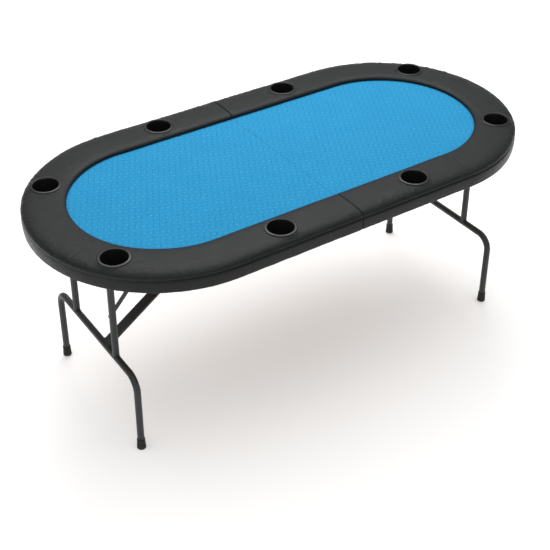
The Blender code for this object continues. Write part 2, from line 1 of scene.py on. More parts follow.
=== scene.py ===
"""Looks of the folding oval card table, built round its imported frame.

One half is made at x > 0 and the other is the same half turned half a turn
about Z, as in the frame. All lengths are metres.
"""
import json
import math

import bmesh
import bpy
import numpy as np
from mathutils import Matrix, Vector, noise


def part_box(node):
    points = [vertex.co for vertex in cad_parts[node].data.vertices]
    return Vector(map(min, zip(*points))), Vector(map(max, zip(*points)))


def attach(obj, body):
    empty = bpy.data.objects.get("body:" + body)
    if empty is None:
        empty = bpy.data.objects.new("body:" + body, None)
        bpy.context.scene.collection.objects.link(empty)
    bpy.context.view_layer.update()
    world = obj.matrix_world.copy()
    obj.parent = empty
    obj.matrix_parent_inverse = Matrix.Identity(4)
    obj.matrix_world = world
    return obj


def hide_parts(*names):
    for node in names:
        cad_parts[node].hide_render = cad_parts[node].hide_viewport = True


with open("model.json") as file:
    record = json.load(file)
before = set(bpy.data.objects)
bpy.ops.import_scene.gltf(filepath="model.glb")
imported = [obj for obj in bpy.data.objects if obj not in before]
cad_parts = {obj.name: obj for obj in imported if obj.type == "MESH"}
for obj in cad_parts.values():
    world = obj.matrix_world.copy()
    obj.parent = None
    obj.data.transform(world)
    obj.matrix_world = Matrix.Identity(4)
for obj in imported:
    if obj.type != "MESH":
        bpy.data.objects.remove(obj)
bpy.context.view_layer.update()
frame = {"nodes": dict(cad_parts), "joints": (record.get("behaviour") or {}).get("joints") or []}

# --- places and sizes taken from the frame --------------------------------
COVER_LOW, COVER_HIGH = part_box("rail_cover_right")
CLOTH_LOW, CLOTH_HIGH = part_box("playing_cloth_right")
JOINT_AT = {joint["name"]: Vector(joint["pos_m"]) for joint in frame["joints"]}
SEAM_X = COVER_LOW.x
RAIL_OUTER = COVER_HIGH.y
ARC_CENTRE = COVER_HIGH.x - RAIL_OUTER
SKIRT_BOTTOM = COVER_LOW.z
RAIL_TOP = COVER_HIGH.z
CLOTH_TOP = CLOTH_HIGH.z
RAIL_INNER = CLOTH_HIGH.y - 0.0018
HALF_TURN = Matrix.Rotation(math.pi, 4, "Z")

# --- sizes that only the looks need ----------------------------------------
CREASE_Z = 0.737             # sewn line between the side panel and the roll
CREASE_DEPTH = 0.0040
COVER_SHEET = 0.0016         # thickness of the leather
ROLL_STEPS = 34
OUTER_POWER = 0.66           # squareness of the roll's two sides; 1 gives an ellipse
INNER_POWER = 0.56
SWELL = 0.0009               # slow unevenness of the padding
GATHER = 0.0022              # puckers where the leather turns round the end
PUCKER = 0.0006
PANEL_SAG = 0.0007
END_ROUND = 0.0045           # how far the cover's ends round over at the seam
SEAM_GROOVE = 0.0005
CUP_CUT = 0.0465             # radius cut through the cover under a cup's rim
CUP_PRESS = 0.008            # width of the ring pressed flat round the rim
CUP_LIP = 0.010              # leather turned down into the hole
CUP_WALL = 0.0015
STITCH_PITCH = 0.0056
STITCH_RISE = 0.0052         # the stitches run this far above the crease
STITCH_LENGTH = 0.0034
THREAD_R = 0.00042
DASH_PITCH = 0.019           # spacing of the dashes printed on the cloth
LEG_SIDES = 28
TUBE_R = 0.0116
CROSSBAR_DROP = 0.4225
BEND_R = 0.052
HOOK_DROP = 0.395
STUD_DROP = 0.265
HOOK_PIN_R = 0.0025
HOOK_REACH = 0.024
LUG_HALF_THICK = 0.0018
LUG_HALF_WIDTH = 0.008
WELD_R = 0.0014
FOOT_HEIGHT = 0.039
BRACKET_PLATE = 0.0020
FLANGE_THICK = 0.0015
EDGE_BEVEL = 0.0004
FLOOR_DROP = 0.001

# --- camera, from the viewing angle ----------------------------------------
CAMERA_AT = Vector((-1.8075, -2.6508, 2.6107))
CAMERA_YAW = 0.5916
CAMERA_PITCH = 0.6364
CAMERA_LENS = 71.2


# --- node helpers -----------------------------------------------------------
def srgb(red, green, blue):
    """Linear RGBA from sRGB 0-255."""
    parts = [c / 255.0 for c in (red, green, blue)]
    linear = [c / 12.92 if c <= 0.04045 else ((c + 0.055) / 1.055) ** 2.4 for c in parts]
    return (*linear, 1.0)


class Surface:
    """One procedural material: a Principled shader with small helpers round it."""

    def __init__(self, name, roughness, metallic=0.0):
        self.material = bpy.data.materials.new(name)
        self.material.use_nodes = True
        self.tree = self.material.node_tree
        self.shader = self.tree.nodes["Principled BSDF"]
        self.shader.inputs["Roughness"].default_value = roughness
        self.shader.inputs["Metallic"].default_value = metallic
        self.place = self.node("ShaderNodeTexCoord").outputs["Object"]

    def node(self, kind, **settings):
        made = self.tree.nodes.new(kind)
        for key, value in settings.items():
            setattr(made, key, value)
        return made

    def join(self, source, target):
        self.tree.links.new(source, target)

    def math(self, operation, first, second=0.0):
        made = self.node("ShaderNodeMath", operation=operation)
        for socket, value in zip(made.inputs, (first, second)):
            if isinstance(value, (int, float)):
                socket.default_value = value
            else:
                self.join(value, socket)
        return made.outputs[0]

    def mapped(self, scale=(1, 1, 1), turn=(0, 0, 0)):
        made = self.node("ShaderNodeMapping")
        made.inputs["Scale"].default_value = scale
        made.inputs["Rotation"].default_value = turn
        self.join(self.place, made.inputs["Vector"])
        return made.outputs["Vector"]

    def noise(self, scale, detail=3.0, vector=None):
        made = self.node("ShaderNodeTexNoise")
        made.inputs["Scale"].default_value = scale
        made.inputs["Detail"].default_value = detail
        made.inputs["Roughness"].default_value = 0.55
        self.join(vector or self.place, made.inputs["Vector"])
        return made.outputs["Fac"]

    def cells(self, scale):
        made = self.node("ShaderNodeTexVoronoi", feature="DISTANCE_TO_EDGE")
        made.inputs["Scale"].default_value = scale
        self.join(self.place, made.inputs["Vector"])
        return made.outputs["Distance"]

    def ramp(self, source, low, high, start, end):
        """Map source from low..high to start..end, clamped."""
        made = self.node("ShaderNodeMapRange")
        for key, value in (("From Min", low), ("From Max", high), ("To Min", start), ("To Max", end)):
            made.inputs[key].default_value = value
        self.join(source, made.inputs["Value"])
        return made.outputs["Result"]

    def mix(self, factor, first, second):
        made = self.node("ShaderNodeMix", data_type="RGBA")
        sockets = (made.inputs[0], made.inputs[6], made.inputs[7])
        for socket, value in zip(sockets, (factor, first, second)):
            if isinstance(value, (tuple, float)):
                socket.default_value = value
            else:
                self.join(value, socket)
        return made.outputs[2]

    def colour(self, source):
        self.join(source, self.shader.inputs["Base Color"])

    def roughness(self, source):
        self.join(source, self.shader.inputs["Roughness"])

    def bump(self, height, distance, strength=1.0, below=None):
        made = self.node("ShaderNodeBump")
        made.inputs["Strength"].default_value = strength
        made.inputs["Distance"].default_value = distance
        self.join(height, made.inputs["Height"])
        if below:
            self.join(below, made.inputs["Normal"])
        self.join(made.outputs["Normal"], self.shader.inputs["Normal"])
        return made.outputs["Normal"]


# --- materials ----------------------------------------------------------------
def speed_cloth():
    """Azure playing cloth: fine twill, with a lattice of pale and dark dashes."""
    s = Surface("azure_speed_cloth", 0.82)
    base = s.mix(s.noise(9.0, 2.0), srgb(17, 136, 186), srgb(26, 144, 193))

    def dashes(turn, shift, length, width):
        """1 on staggered rows of dashes laid at one angle, 0 between them."""
        spot = s.node("ShaderNodeSeparateXYZ")
        s.join(s.mapped((1 / DASH_PITCH,) * 3, (0, 0, turn)), spot.inputs[0])
        row = s.math("FLOOR", s.math("ADD", spot.outputs["Y"], shift))
        across = s.math("ADD", s.math("MULTIPLY", row, 0.5), s.math("ADD", spot.outputs["X"], shift))
        u = s.math("ABSOLUTE", s.math("SUBTRACT", s.math("FRACT", across), 0.5))
        v = s.math("FRACT", s.math("ADD", spot.outputs["Y"], shift))
        v = s.math("ABSOLUTE", s.math("SUBTRACT", v, 0.5))
        along = s.ramp(u, length, length + 0.06, 1, 0)
        return s.math("MULTIPLY", along, s.ramp(v, width, width + 0.05, 1, 0))

    pale = dashes(math.radians(24), 0.0, 0.15, 0.060)
    dark = dashes(math.radians(-62), 0.5, 0.30, 0.080)
    pale_ink = s.ramp(s.noise(60.0, 2.0), 0.35, 0.65, 0.05, 0.36)
    base = s.mix(s.math("MULTIPLY", pale, pale_ink), base, srgb(128, 196, 227))
    dark_ink = s.ramp(s.noise(75.0, 2.0), 0.35, 0.65, 0.12, 0.55)
    base = s.mix(s.math("MULTIPLY", dark, dark_ink), base, srgb(6, 98, 146))
    twill = s.node("ShaderNodeTexWave", wave_type="BANDS", bands_direction="DIAGONAL")
    twill.inputs["Scale"].default_value = 420.0
    twill.inputs["Distortion"].default_value = 1.2
    s.join(s.place, twill.inputs["Vector"])
    s.colour(s.mix(s.math("MULTIPLY", twill.outputs["Fac"], 0.10), base, srgb(10, 100, 150)))
    below = s.bump(twill.outputs["Fac"], 0.00012, 0.6)
    s.bump(s.noise(900.0, 2.0), 0.00008, 0.5, below)
    s.shader.inputs["Sheen Weight"].default_value = 0.04
    s.shader.inputs["Specular IOR Level"].default_value = 0.25
    return s.material


def leatherette():
    """Charcoal leatherette: pebbled grain with painted shade in its hollows, soft creases and a worn
    sheen.
    """
    s = Surface("charcoal_leatherette", 0.42)
    grain = s.ramp(s.cells(620.0), 0.0, 0.22, 0.0, 1.0)
    coarse = s.noise(70.0, 4.0)
    wear = s.noise(6.0, 3.0)
    base = s.mix(wear, srgb(22, 24, 24), srgb(36, 37, 38))
    # Painted shade: the colour darkens towards srgb(14, 15, 15) in the grain's hollows, where its bump
    # is low.
    s.colour(s.mix(s.ramp(grain, 0.0, 1.0, 0.55, 1.0), srgb(14, 15, 15), base))
    s.roughness(s.math("ADD", s.ramp(wear, 0.3, 0.7, 0.22, 0.34), s.math("MULTIPLY", coarse, 0.10)))
    below = s.bump(coarse, 0.0010, 0.60)
    s.bump(grain, 0.00022, 0.75, below)
    s.shader.inputs["Specular IOR Level"].default_value = 0.17
    return s.material


def moulded_plastic():
    """Black cup-holder plastic with a fine spark-eroded grain."""
    s = Surface("black_moulded_plastic", 0.32)
    speck = s.noise(1500.0, 2.0)
    s.colour(s.mix(s.noise(20.0), srgb(17, 17, 19), srgb(27, 27, 29)))
    s.roughness(s.ramp(s.noise(45.0), 0.3, 0.7, 0.26, 0.40))
    s.bump(speck, 0.00006, 0.5)
    s.shader.inputs["Specular IOR Level"].default_value = 0.28
    return s.material


def powder_coat():
    """Charcoal powder coat: orange-peel skin, rubbed a little paler."""
    s = Surface("charcoal_powder_coat", 0.42)
    rub = s.noise(14.0, 4.0)
    s.colour(s.mix(s.ramp(rub, 0.45, 0.75, 0.0, 1.0), srgb(25, 26, 28), srgb(40, 41, 43)))
    s.roughness(s.ramp(rub, 0.3, 0.7, 0.36, 0.50))
    s.bump(s.noise(850.0, 2.0), 0.00010, 0.55)
    return s.material


def zinc_plate():
    """Zinc-plated pressed steel with faint rolling lines and dull patches."""
    s = Surface("zinc_plated_steel", 0.34, 1.0)
    lines = s.noise(60.0, 4.0, s.mapped((1.0, 22.0, 1.0)))
    patch = s.noise(38.0, 3.0)
    s.colour(s.mix(patch, srgb(150, 150, 146), srgb(192, 192, 190)))
    s.roughness(s.math("ADD", s.ramp(patch, 0.3, 0.7, 0.26, 0.42), s.math("MULTIPLY", lines, 0.08)))
    s.bump(lines, 0.00006, 0.5)
    return s.material


def moulded_rubber():
    """Matt black rubber with scuffs towards the floor."""
    s = Surface("black_rubber", 0.78)
    height = s.node("ShaderNodeSeparateXYZ")
    s.join(s.place, height.inputs[0])
    scuff = s.math("MULTIPLY", s.ramp(height.outputs["Z"], 0.0, 0.010, 1.0, 0.0), s.noise(260.0, 4.0))
    s.colour(s.mix(scuff, srgb(25, 25, 26), srgb(78, 76, 73)))
    s.bump(s.noise(700.0, 3.0), 0.00012, 0.6)
    return s.material


def fibreboard():
    """Brown hardboard, flecked with fibres."""
    s = Surface("brown_fibreboard", 0.80)
    fleck = s.noise(520.0, 5.0, s.mapped((1.0, 0.35, 1.0)))
    base = s.mix(s.noise(7.0, 3.0), srgb(128, 96, 64), srgb(150, 116, 80))
    s.colour(s.mix(s.ramp(fleck, 0.50, 0.66, 0.0, 0.55), base, srgb(92, 66, 42)))
    s.bump(fleck, 0.00016, 0.6)
    return s.material


def timber():
    """Plain softwood strip: long grain rings under a rough sawn face."""
    s = Surface("sawn_timber", 0.74)
    rings = s.node("ShaderNodeTexWave", wave_type="RINGS", rings_direction="X")
    rings.inputs["Scale"].default_value = 34.0
    rings.inputs["Distortion"].default_value = 7.0
    rings.inputs["Detail"].default_value = 3.0
    s.join(s.mapped((1.0, 0.12, 1.0)), rings.inputs["Vector"])
    base = s.mix(rings.outputs["Fac"], srgb(150, 116, 78), srgb(186, 150, 106))
    s.colour(s.mix(s.ramp(s.noise(11.0), 0.4, 0.7, 0.0, 0.35), base, srgb(118, 86, 55)))
    s.bump(s.noise(240.0, 4.0, s.mapped((1.0, 0.2, 1.0))), 0.0002, 0.6)
    return s.material


def sewing_thread():
    """Twisted black thread."""
    s = Surface("black_thread", 0.65)
    twist = s.noise(2400.0, 1.0)
    s.colour(s.mix(twist, srgb(20, 20, 21), srgb(48, 48, 50)))
    s.bump(twist, 0.0001, 0.8)
    return s.material


CLOTH = speed_cloth()
LEATHER = leatherette()
PLASTIC = moulded_plastic()
PAINT = powder_coat()
ZINC = zinc_plate()
RUBBER = moulded_rubber()
BOARD = fibreboard()
TIMBER = timber()
THREAD = sewing_thread()


# --- mesh helpers -----------------------------------------------------------
class Shape:
    """Points and faces gathered for one piece."""

    def __init__(self):
        self.verts = []
        self.faces = []

    def sheet(self, rows, wrap_rows=False, wrap_columns=False):
        """Quads over a grid of points; rows may be rings."""
        start = len(self.verts)
        wide = len(rows[0])
        for row in rows:
            self.verts += [tuple(p) for p in row]
        for i in range(len(rows) if wrap_rows else len(rows) - 1):
            k = (i + 1) % len(rows)
            for j in range(wide if wrap_columns else wide - 1):
                m = (j + 1) % wide
                self.faces.append([start + i * wide + j, start + i * wide + m,
                                   start + k * wide + m, start + k * wide + j])
        return start

    def cap(self, start, count):
        """One face over a ring of points."""
        self.faces.append(list(range(start, start + count)))

    def tube(self, path, radius, side, sides=LEG_SIDES, closed=False):
        """Round bar along a path; side is a direction across the path's plane."""
        count = len(path)
        rings = []
        for i, here in enumerate(path):
            before = path[(i - 1) % count] if closed else path[max(i - 1, 0)]
            after = path[(i + 1) % count] if closed else path[min(i + 1, count - 1)]
            along = (after - before).normalized()
            across = side.cross(along).normalized()
            other = along.cross(across)
            rings.append([here + (across * math.cos(t) + other * math.sin(t)) * radius
                          for t in np.linspace(0, 2 * math.pi, sides, endpoint=False)])
        start = self.sheet(rings, wrap_rows=closed, wrap_columns=True)
        if not closed:
            self.cap(start, sides)
            self.cap(start + (count - 1) * sides, sides)

    def turned(self, profile, centre, axis="Z", sides=48, closed=True):
        """Turned piece from (radius, height) pairs about a line through centre."""
        rings = []
        for radius, height in profile:
            ring = []
            for t in np.linspace(0, 2 * math.pi, sides, endpoint=False):
                a, b = radius * math.cos(t), radius * math.sin(t)
                spot = Vector((a, b, height)) if axis == "Z" else Vector((a, height, b))
                ring.append(Vector(centre) + spot)
            rings.append(ring)
        start = self.sheet(rings, wrap_rows=closed, wrap_columns=True)
        if not closed:
            self.cap(start, sides)
            self.cap(start + (len(profile) - 1) * sides, sides)

    def build(self, name, material, smooth_angle=40):
        """Object from the gathered shape, smooth up to the given angle."""
        mesh = bpy.data.meshes.new(name)
        mesh.from_pydata([tuple(v) for v in self.verts], [], self.faces)
        work = bmesh.new()
        work.from_mesh(mesh)
        bmesh.ops.remove_doubles(work, verts=work.verts, dist=0.000001)
        bmesh.ops.recalc_face_normals(work, faces=work.faces)
        work.to_mesh(mesh)
        work.free()
        mesh.materials.append(material)
        mesh.shade_smooth()
        mesh.set_sharp_from_angle(angle=math.radians(smooth_angle))
        made = bpy.data.objects.new(name, mesh)
        bpy.context.collection.objects.link(made)
        return made


def place(piece, side, body, slot, *nodes):
    """Turn a piece to its own half, ride it on its body and hide the CAD parts it replaces."""
    if side == "left":
        piece.data.transform(HALF_TURN)
        piece.data.update()
    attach(piece, body)
    if nodes:
        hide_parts(*nodes)
    return piece


def smoothstep(value):
    """Ease from 0 to 1."""
    value = np.clip(value, 0.0, 1.0)
    return value * value * (3 - 2 * value)


# --- padded rail ---------------------------------------------------------------
def rail_stations():
    """Stations round the half: (spine x, angle, distance to the nearer end)."""
    near = [0.0, 0.0004, 0.0010, 0.0018, 0.0028, 0.0040, 0.0060, 0.0090]
    seam = [-0.0060, -0.0040, -0.0026, -0.0014, 0.0, 0.0014, 0.0026, 0.0040, 0.0060]
    middle = np.arange(near[-1] + 0.0055, ARC_CENTRE - 0.010, 0.0055)
    straight = near + list(middle) + [ARC_CENTRE - SEAM_X + d for d in seam if d < 0]
    turn = [d / RAIL_OUTER for d in seam if d >= 0]
    turn += list(np.arange(0.0125 / RAIL_OUTER, math.pi / 2, 0.0042 / RAIL_OUTER))
    first = [(SEAM_X + d, -math.pi / 2, d) for d in straight]
    first += [(ARC_CENTRE, -math.pi / 2 + t, 1.0) for t in turn]
    return first + [(ARC_CENTRE, 0.0, 1.0)] + [(x, -a, d) for x, a, d in first[::-1]]


def rail_profile():
    """Outer line of the cover as (radius, z), from the hem to the cloth."""
    hem = ((0.007, 0.0026), (0.0066, 0.0004), (0.0035, 0.0), (0.0012, 0.0003), (0.0, 0.0016))
    points = [(RAIL_OUTER - inset, SKIRT_BOTTOM + rise) for inset, rise in hem]
    for height in np.linspace(SKIRT_BOTTOM + 0.005, CREASE_Z - 0.0035, 9):
        share = (height - SKIRT_BOTTOM) / (CREASE_Z - SKIRT_BOTTOM)
        points.append((RAIL_OUTER + 0.0012 * math.sin(math.pi * share), height))
    for rise in (-0.0016, 0.0, 0.0012):
        points.append((RAIL_OUTER, CREASE_Z + rise))
    middle = (RAIL_OUTER + RAIL_INNER) / 2
    half = (RAIL_OUTER - RAIL_INNER) / 2
    for i in range(1, ROLL_STEPS):
        angle = math.pi * i / ROLL_STEPS
        base = CREASE_Z + 0.0012 if angle < math.pi / 2 else CLOTH_TOP + 0.0008
        power = OUTER_POWER if angle < math.pi / 2 else INNER_POWER
        across = math.copysign(abs(math.cos(angle)) ** power, math.cos(angle))
        points.append((middle + half * across, base + (RAIL_TOP - base) * math.sin(angle) ** power))
    points.append((RAIL_INNER + 0.0006, CLOTH_TOP + 0.0006))
    points.append((RAIL_INNER + 0.0030, CLOTH_TOP + 0.0003))
    return np.array(points)


def cup_centres(side="right"):
    """Centres of a half's cup holders, from their CAD nodes."""
    found = []
    for name in sorted(frame["nodes"]):
        if name.startswith("cup_holder_" + side):
            low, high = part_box(name)
            found.append((name, (low + high) / 2, low, high))
    return found


def cover_end(profile, share):
    """Profile of the leather folded in over the end of the rail, 0 to 1 of the way."""
    folded = []
    for radius, height in profile:
        if height < CREASE_Z + 0.001:
            target = (min(radius, RAIL_OUTER - 0.0045), height)
        else:
            target = (min(max(radius, RAIL_INNER + 0.007), RAIL_OUTER - 0.007), CLOTH_TOP - 0.0012)
        folded.append((radius + (target[0] - radius) * share, height + (target[1] - height) * share))
    return folded


def rail_row(profile, outward, masks, station):
    """One line of points across the cover, with its creases and gathers."""
    x, angle, distance = station
    crease, upper, edge = masks
    arc = abs(angle) * RAIL_OUTER
    quarter = math.pi / 2 * RAIL_OUTER
    on_straight = abs(angle) >= math.pi / 2 - 1e-6
    off = ARC_CENTRE - x if on_straight else quarter - arc
    along = math.copysign(arc + (off if on_straight else 0.0), angle)
    inset = max(END_ROUND - distance, 0.0)
    bowed = END_ROUND - math.sqrt(END_ROUND ** 2 - inset ** 2)
    straightness = float(smoothstep((abs(angle) - 0.62) / 0.60))
    groove = SEAM_GROOVE * math.exp(-(off / 0.0017) ** 2)
    patch = 0.35 + 1.1 * float(smoothstep(0.5 + noise.noise(Vector((along * 5.0, 3.1, 0.7)))))
    turning = 1.0 - 0.8 * float(smoothstep((arc - quarter - 0.02) / 0.2)) if on_straight else 1.0
    row = []
    for k, (radius, height) in enumerate(profile):
        spot = Vector((x + radius * math.cos(angle), radius * math.sin(angle), height))
        gather = noise.noise(Vector((along * 105.0, radius * 26.0, height * 40.0)))
        lift = noise.noise(spot * 9.0) * SWELL * upper[k]
        lift += (abs(gather) - 0.16) * GATHER * edge[k] * upper[k] * turning * patch
        lift += noise.noise(spot * 190.0) * PUCKER * edge[k] * turning * patch
        lift -= crease[k] * CREASE_DEPTH * (0.22 + 0.78 * straightness)
        lift -= PANEL_SAG * (1 - upper[k]) * (0.5 + noise.noise(spot * 22.0))
        lift -= groove + bowed
        r = radius + outward[k][0] * lift
        z = min(height + outward[k][1] * lift, RAIL_TOP + 0.0012)
        row.append((r, z))
    return row


def rail_skin():
    """Leather cover: hemmed side panel, sewn crease and padded roll, as one sheet."""
    profile = rail_profile()
    slope = np.gradient(profile, axis=0)
    outward = np.stack([slope[:, 1], -slope[:, 0]], axis=1)
    outward /= np.linalg.norm(outward, axis=1)[:, None]
    crease = np.exp(-((profile[:, 1] - CREASE_Z) / 0.0022) ** 2) * (profile[:, 0] > RAIL_OUTER - 0.01)
    upper = smoothstep((profile[:, 1] - CREASE_Z) / 0.006)
    edge = np.exp(-((profile[:, 0] - (RAIL_OUTER - 0.008)) / 0.024) ** 2)
    stations = rail_stations()
    lines = [rail_row(profile, outward, (crease, upper, edge), station) for station in stations]
    folds = (1.0, 0.55, 0.15)
    start = [cover_end(lines[0], share) for share in folds]
    lines = start + lines + [cover_end(lines[-1], share) for share in folds[::-1]]
    stations = [stations[0]] * len(folds) + stations + [stations[-1]] * len(folds)
    rows = [[Vector((x + r * math.cos(a), r * math.sin(a), z)) for r, z in line]
            for line, (x, a, _) in zip(lines, stations)]
    shape = Shape()
    shape.sheet(rows)
    skin = shape.build("rail_skin_right", LEATHER, 80)
    work = bmesh.new()
    work.from_mesh(skin.data)
    for _, centre, low, high in cup_centres():
        open_cup(work, centre, (high.x - low.x) / 2)
    top = max(work.faces, key=lambda face: face.calc_center_median().z)
    if top.normal.z < 0:
        bmesh.ops.reverse_faces(work, faces=work.faces)
    work.to_mesh(skin.data)
    work.free()
    thick = skin.modifiers.new("thickness", "SOLIDIFY")
    thick.thickness = COVER_SHEET
    thick.offset = -1.0
    graph = bpy.context.evaluated_depsgraph_get()
    solid = bpy.data.meshes.new_from_object(skin.evaluated_get(graph))
    skin.modifiers.clear()
    skin.data = solid
    return skin


def open_cup(work, centre, rim):
    """Press the leather flat under a cup's rim and open a round hole through it."""
    def far(point):
        return math.hypot(point.x - centre.x, point.y - centre.y)

    roll = [v for v in work.verts if far(v.co) < rim + CUP_PRESS and v.co.z > CLOTH_TOP + 0.008]
    for vertex in roll:
        share = float(smoothstep((rim + CUP_PRESS - far(vertex.co)) / CUP_PRESS))
        vertex.co.z += (RAIL_TOP - 0.0002 - vertex.co.z) * share
    inside = {f for v in roll for f in v.link_faces if far(f.calc_center_median()) < CUP_CUT}
    bmesh.ops.delete(work, geom=list(inside), context="FACES")
    ring = [e for e in work.edges if e.is_boundary and far(e.verts[0].co) < rim + 0.004
            and far(e.verts[1].co) < rim + 0.004 and e.verts[0].co.z > CLOTH_TOP + 0.004]
    for vertex in {v for e in ring for v in e.verts}:
        scale = CUP_CUT / far(vertex.co)
        vertex.co.x = centre.x + (vertex.co.x - centre.x) * scale
        vertex.co.y = centre.y + (vertex.co.y - centre.y) * scale
        vertex.co.z = RAIL_TOP - 0.0004
    wall = bmesh.ops.extrude_edge_only(work, edges=ring)["geom"]
    for vertex in (item for item in wall if isinstance(item, bmesh.types.BMVert)):
        vertex.co.z -= CUP_LIP


def add_rails():
    """Both rail covers; the second is a turned copy of the first."""
    right = rail_skin()
    left = bpy.data.objects.new("rail_skin_left", right.data.copy())
    bpy.context.collection.objects.link(left)
    place(right, "right", "right_half", "rail_leather", "rail_cover_right", "rail_foam_right")
    place(left, "left", "left_half", "rail_leather", "rail_cover_left", "rail_foam_left")


def stitch(shape, centre, along, out):
    """One short thread stitch, sunk at both ends."""
    side = along.cross(out).normalized()
    steps = np.linspace(-1, 1, 6)
    path = [centre + along * (STITCH_LENGTH / 2 * t) + out * (0.00055 * (1 - t * t) - 0.00015)
            for t in steps]
    shape.tube(path, THREAD_R, side, sides=6)


def add_stitching(side):
    """Stitches above the crease on both straights."""
    shape = Shape()
    radius = RAIL_OUTER + 0.0004
    for sign in (-1, 1):
        for x in np.arange(SEAM_X + 0.012, ARC_CENTRE - 0.008, STITCH_PITCH):
            spot = Vector((x, sign * radius, CREASE_Z + STITCH_RISE))
            stitch(shape, spot, Vector((1, 0, 0)), Vector((0, sign, 0)))
    piece = shape.build("crease_stitches_" + side, THREAD)
    place(piece, side, side + "_half", "rail_leather")


# --- cloth --------------------------------------------------------------------
def add_cloth(side):
    """Cloth over its thin underlay, rolled down at the seam between the halves."""
    outer = CLOTH_HIGH.y
    ends = [0.0, 0.0003, 0.0008, 0.0016, 0.0030]
    straight = ends + list(np.linspace(0.015, ARC_CENTRE - SEAM_X, 24))
    turn = np.linspace(-math.pi / 2, math.pi / 2, 72)[1:-1]
    stations = [(SEAM_X + d, -math.pi / 2, d) for d in straight]
    stations += [(ARC_CENTRE, t, 1.0) for t in turn]
    stations += [(SEAM_X + d, math.pi / 2, d) for d in straight[::-1]]
    shares = [0.0, 0.2, 0.4, 0.6, 0.75, 0.87, 0.94, 0.975, 1.0]
    shape = Shape()
    rows = []
    for x, angle, distance in stations:
        drop = 0.0009 * (1 - math.sqrt(min(distance / 0.0030, 1.0)))
        row = []
        for share in shares:
            r = share * outer
            spot = Vector((x + r * math.cos(angle), r * math.sin(angle), CLOTH_TOP))
            swell = 0.00022 * noise.noise(spot * 7.0) * (1 - share ** 6)
            row.append(spot + Vector((0, 0, swell - drop - 0.0003 * max(share - 0.9, 0) * 10)))
        row += [Vector((p.x, p.y, CLOTH_LOW.z)) for p in row[::-1]]
        rows.append(row)
    start = shape.sheet(rows, wrap_columns=False)
    shape.cap(start, len(rows[0]))
    shape.cap(start + (len(rows) - 1) * len(rows[0]), len(rows[0]))
    piece = shape.build("cloth_sheet_" + side, CLOTH, 60)
    place(piece, side, side + "_half", "playing_cloth", "playing_cloth_" + side)


# --- cup holders ------------------------------------------------------------------
def add_cup(side, node, centre, low, high):
    """Moulded cup holder: beaded rim, ribbed wall and a raised ring in its floor."""
    rim = (high.x - low.x) / 2
    mouth = rim - 0.0102
    base = low.z
    wall = CUP_WALL
    foot = mouth - 0.004
    top = high.z
    profile = [(0.0001, base + wall), (0.016, base + wall), (0.017, base + wall + 0.0008),
               (0.020, base + wall + 0.0008), (0.021, base + wall), (foot - 0.003, base + wall),
               (foot - 0.0008, base + wall + 0.0007), (foot, base + wall + 0.0030)]
    for i in range(1, 9):
        share = i / 9
        ridge = 0.0003 if i % 2 else 0.0
        height = base + 0.004 + (top - base - 0.008) * share
        profile.append((foot + (mouth - foot) * share - ridge, height))
    profile += [(mouth, top - 0.0026), (mouth + 0.0004, top - 0.0012), (mouth + 0.0013, top - 0.0002),
                (mouth + 0.0024, top + 0.0003), (mouth + 0.0040, top), (rim - 0.0030, top - 0.0003),
                (rim - 0.0012, top - 0.0007), (rim - 0.0002, top - 0.0015), (rim, top - 0.0022),
                (rim - 0.0006, top - 0.0026), (mouth + wall + 0.0006, top - 0.0026),
                (mouth + wall, top - 0.0040), (foot + wall, base + 0.0020), (foot, base), (0.0001, base)]
    shape = Shape()
    shape.turned(profile, (centre.x, centre.y, 0.0), sides=64)
    piece = shape.build("moulded_" + node, PLASTIC, 50)
    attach(piece, side + "_half")
    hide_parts(node)


# --- leg frame --------------------------------------------------------------------
def hanging():
    """Matrix from the leg frame's own drop to its place in the right half."""
    pivot = JOINT_AT["leg_fold_right"]
    low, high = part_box("rubber_foot_right_front")
    lean = math.atan2((low.x + high.x) / 2 - pivot.x, pivot.z)
    return Matrix.Translation((pivot.x, 0, pivot.z)) @ Matrix.Rotation(-lean, 4, "Y")


def leg_sizes():
    """Leg length, the feet's y and the uprights' y, from the frame."""
    pivot = JOINT_AT["leg_fold_right"]
    feet = [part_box("rubber_foot_right_" + end) for end in ("front", "back")]
    pins = [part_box("leg_bracket_right_" + end) for end in ("front", "back")]
    feet_y = [(low.y + high.y) / 2 for low, high in feet]
    pins_y = [(low.y + high.y) / 2 for low, high in pins]
    foot_x = (feet[0][0].x + feet[0][1].x) / 2
    return math.hypot(foot_x - pivot.x, pivot.z), feet_y, pins_y


LEG_LENGTH, FEET_Y, PINS_Y = leg_sizes()
BRACE_Y = JOINT_AT["brace_fold_right"].y


